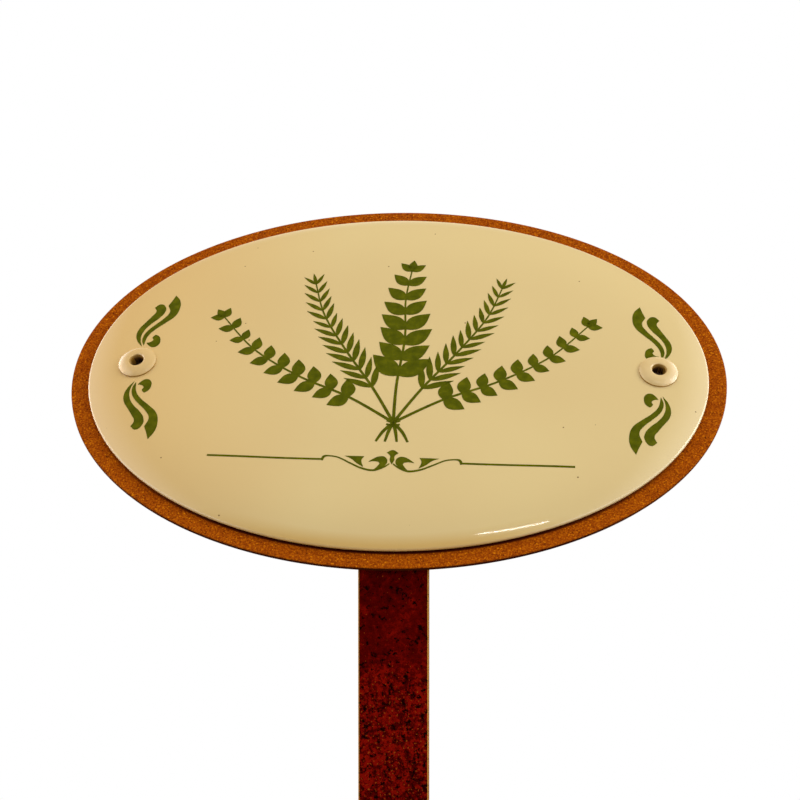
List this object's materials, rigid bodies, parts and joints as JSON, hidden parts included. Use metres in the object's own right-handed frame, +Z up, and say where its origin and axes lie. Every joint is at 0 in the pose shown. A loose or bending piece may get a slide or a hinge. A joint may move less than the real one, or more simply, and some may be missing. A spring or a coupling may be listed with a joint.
{
  "type": "plant label stake",
  "caption": "Oval domed enamel sign riveted to a rusted oval plate that is welded to the slanted top of a flat bar with a pointed foot for the soil.",
  "frame": {"origin": "centre of the flat bar's section where it enters the soil", "axes": "+Z up along the bar, the sign faces -Y and leans back towards +Y, +X to the viewer's right"},
  "size_m": [0.148, 0.0769, 0.3465],
  "materials": {
    "enamel": "glossy ivory vitreous enamel",
    "rust_plate": "even orange-brown rust patina, sealed matte",
    "rust_bar": "dark red-brown pitted rust",
    "rivet_lacquer": "satin ivory lacquer",
    "rivet_stem": "dark rusted steel",
    "washer_rubber": "matte black rubber",
    "weld": "rusted weld metal",
    "enamel_green": "glossy green fired enamel print"
  },
  "bodies": {
    "root": {"enamel_sign": "enamel", "backing_plate": "rust_plate", "stake": "rust_bar", "rivet_body_left": "rivet_lacquer", "rivet_body_right": "rivet_lacquer", "rivet_stem_left": "rivet_stem", "rivet_stem_right": "rivet_stem", "spacer_washer_left": "washer_rubber", "spacer_washer_right": "washer_rubber", "weld_beads_left": "weld", "weld_beads_right": "weld"}
  },
  "joints": []
}
